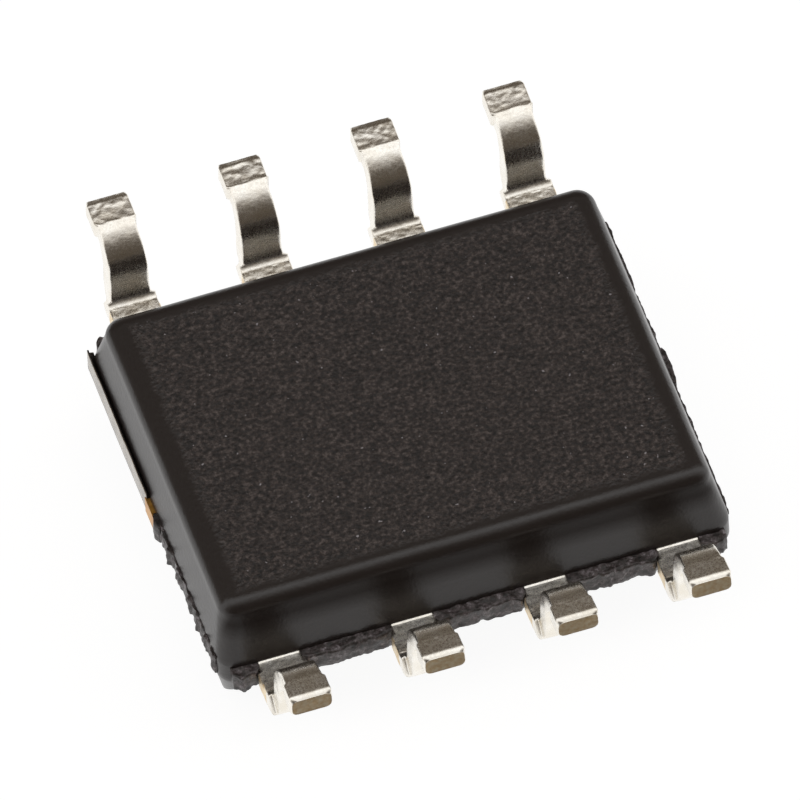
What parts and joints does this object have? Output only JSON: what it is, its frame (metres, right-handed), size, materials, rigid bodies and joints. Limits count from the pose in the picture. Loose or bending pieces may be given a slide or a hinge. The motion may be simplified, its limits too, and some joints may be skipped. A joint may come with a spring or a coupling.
{
  "type": "soic chip",
  "caption": "Small-outline integrated circuit lying on its marked face: drafted moulded resin body, gull-wing leads with their feet upwards, die and bond wires inside.",
  "frame": {"origin": "centre of the flat marked face, on which the chip lies", "axes": "+X along the rows of leads, +Y across the body from the row of leads 1 to 4 to the row of leads 5 to 8, +Z from the marked face to the seats of the feet. Soldered to a board the chip is the other way up, and its feet face -Z there"},
  "size_m": [0.005, 0.006, 0.0016],
  "materials": {
    "moulded_resin": "matte spark-eroded face, smoother walls",
    "tinned_lead": "matte tin plate over copper alloy",
    "copper_alloy": "bare copper alloy, sheared ends",
    "die_adhesive": "silver-filled epoxy",
    "silicon": "polished silicon",
    "gold_wire": "bright drawn wire"
  },
  "bodies": {
    "root": {"mould_body": "moulded_resin", "lead_1": "tinned_lead", "lead_2": "tinned_lead", "lead_3": "tinned_lead", "lead_4": "tinned_lead", "lead_5": "tinned_lead", "lead_6": "tinned_lead", "lead_7": "tinned_lead", "lead_8": "tinned_lead", "die_paddle": "copper_alloy", "die_attach": "die_adhesive", "die": "silicon", "bond_wire_1": "gold_wire", "bond_wire_2": "gold_wire", "bond_wire_3": "gold_wire", "bond_wire_4": "gold_wire", "bond_wire_5": "gold_wire", "bond_wire_6": "gold_wire", "bond_wire_7": "gold_wire", "bond_wire_8": "gold_wire"}
  },
  "joints": []
}
